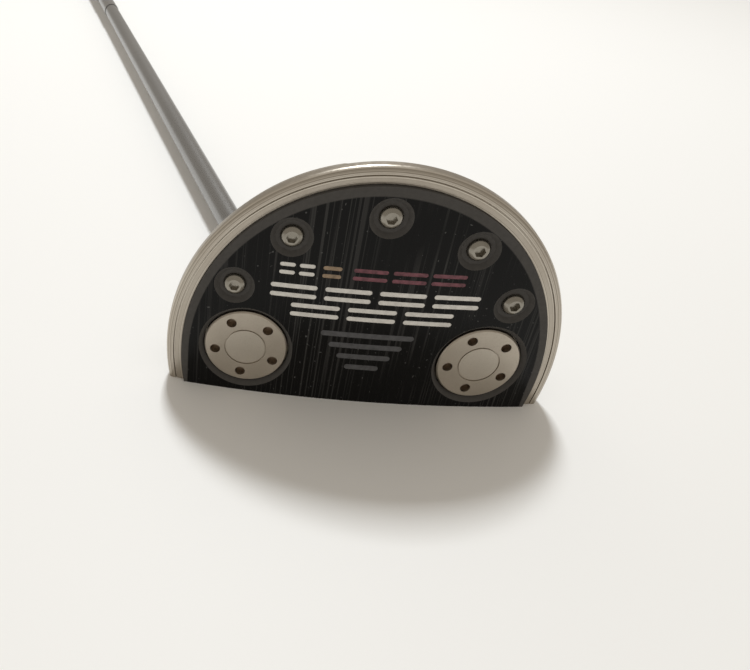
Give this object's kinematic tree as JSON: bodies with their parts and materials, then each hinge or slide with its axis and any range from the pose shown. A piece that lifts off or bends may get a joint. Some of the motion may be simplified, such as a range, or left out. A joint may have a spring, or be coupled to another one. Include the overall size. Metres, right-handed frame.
{
  "type": "mallet putter",
  "caption": "Right-handed mallet putter with a rounded steel head, black face-sole plate held by screws, screw-in sole weights, double-bend steel shaft and pistol grip.",
  "frame": {"origin": "middle of the leading edge, where the striking face meets the sole", "axes": "+X from heel to toe, -Y out of the sole, +Y up the club, +Z from the striking face to the back of the head; the club lies face down on z = 0"},
  "size_m": [0.3457, 0.8336, 0.0674],
  "materials": {
    "stainless_steel": "fine machined satin",
    "black_anodised": "black anodised, glossy with milling lines",
    "membrane": "matte",
    "bright_steel": "bright",
    "weight_steel": "bead blasted satin",
    "seal": "matte",
    "white_paint": "enamel",
    "gold_paint": "enamel",
    "red_paint": "enamel",
    "grey_paint": "matte enamel",
    "shaft_chrome": "satin plated",
    "epoxy": "clear amber",
    "cork": "cork",
    "tape": "paper backed",
    "grip_rubber": "textured matte",
    "cap_rubber": "matte"
  },
  "bodies": {
    "club": {"head_body": "stainless_steel", "face_sole_plate": "black_anodised", "damping_membrane": "membrane", "sole_screws": "bright_steel", "sight_line": "white_paint", "white_paint_fill": "white_paint", "gold_paint_fill": "gold_paint", "red_paint_fill": "red_paint", "grey_paint_fill": "grey_paint", "shaft": "shaft_chrome", "shaft_epoxy": "epoxy", "tip_plug": "cork", "grip_tape": "tape", "grip": "grip_rubber", "grip_cap": "cap_rubber"},
    "heel_washer": {"heel_weight_washer": "seal"},
    "heel_weight": {"heel_weight": "weight_steel"},
    "toe_washer": {"toe_weight_washer": "seal"},
    "toe_weight": {"toe_weight": "weight_steel"}
  },
  "joints": [
    {"name": "heel_weight_travel", "type": "slide", "parent": "club", "child": "heel_washer", "axis": [-0.0861, -0.9963, 0], "range_m": [0, 0.0035]},
    {"name": "heel_weight_turn", "type": "hinge", "parent": "heel_washer", "child": "heel_weight", "pos_m": [-0.031, 0.00134, 0.0143], "axis": [-0.0861, -0.9963, 0], "range_deg": [0, 1224]},
    {"name": "toe_weight_travel", "type": "slide", "parent": "club", "child": "toe_washer", "axis": [0.0861, -0.9963, 0], "range_m": [0, 0.0035]},
    {"name": "toe_weight_turn", "type": "hinge", "parent": "toe_washer", "child": "toe_weight", "pos_m": [0.031, 0.00134, 0.0143], "axis": [0.0861, -0.9963, 0], "range_deg": [0, 1224]}
  ],
  "couplings": [
    {"joint": "heel_weight_travel", "follows": "heel_weight_turn", "m_per_rad": 0.00015915},
    {"joint": "toe_weight_travel", "follows": "toe_weight_turn", "m_per_rad": 0.00015915}
  ]
}
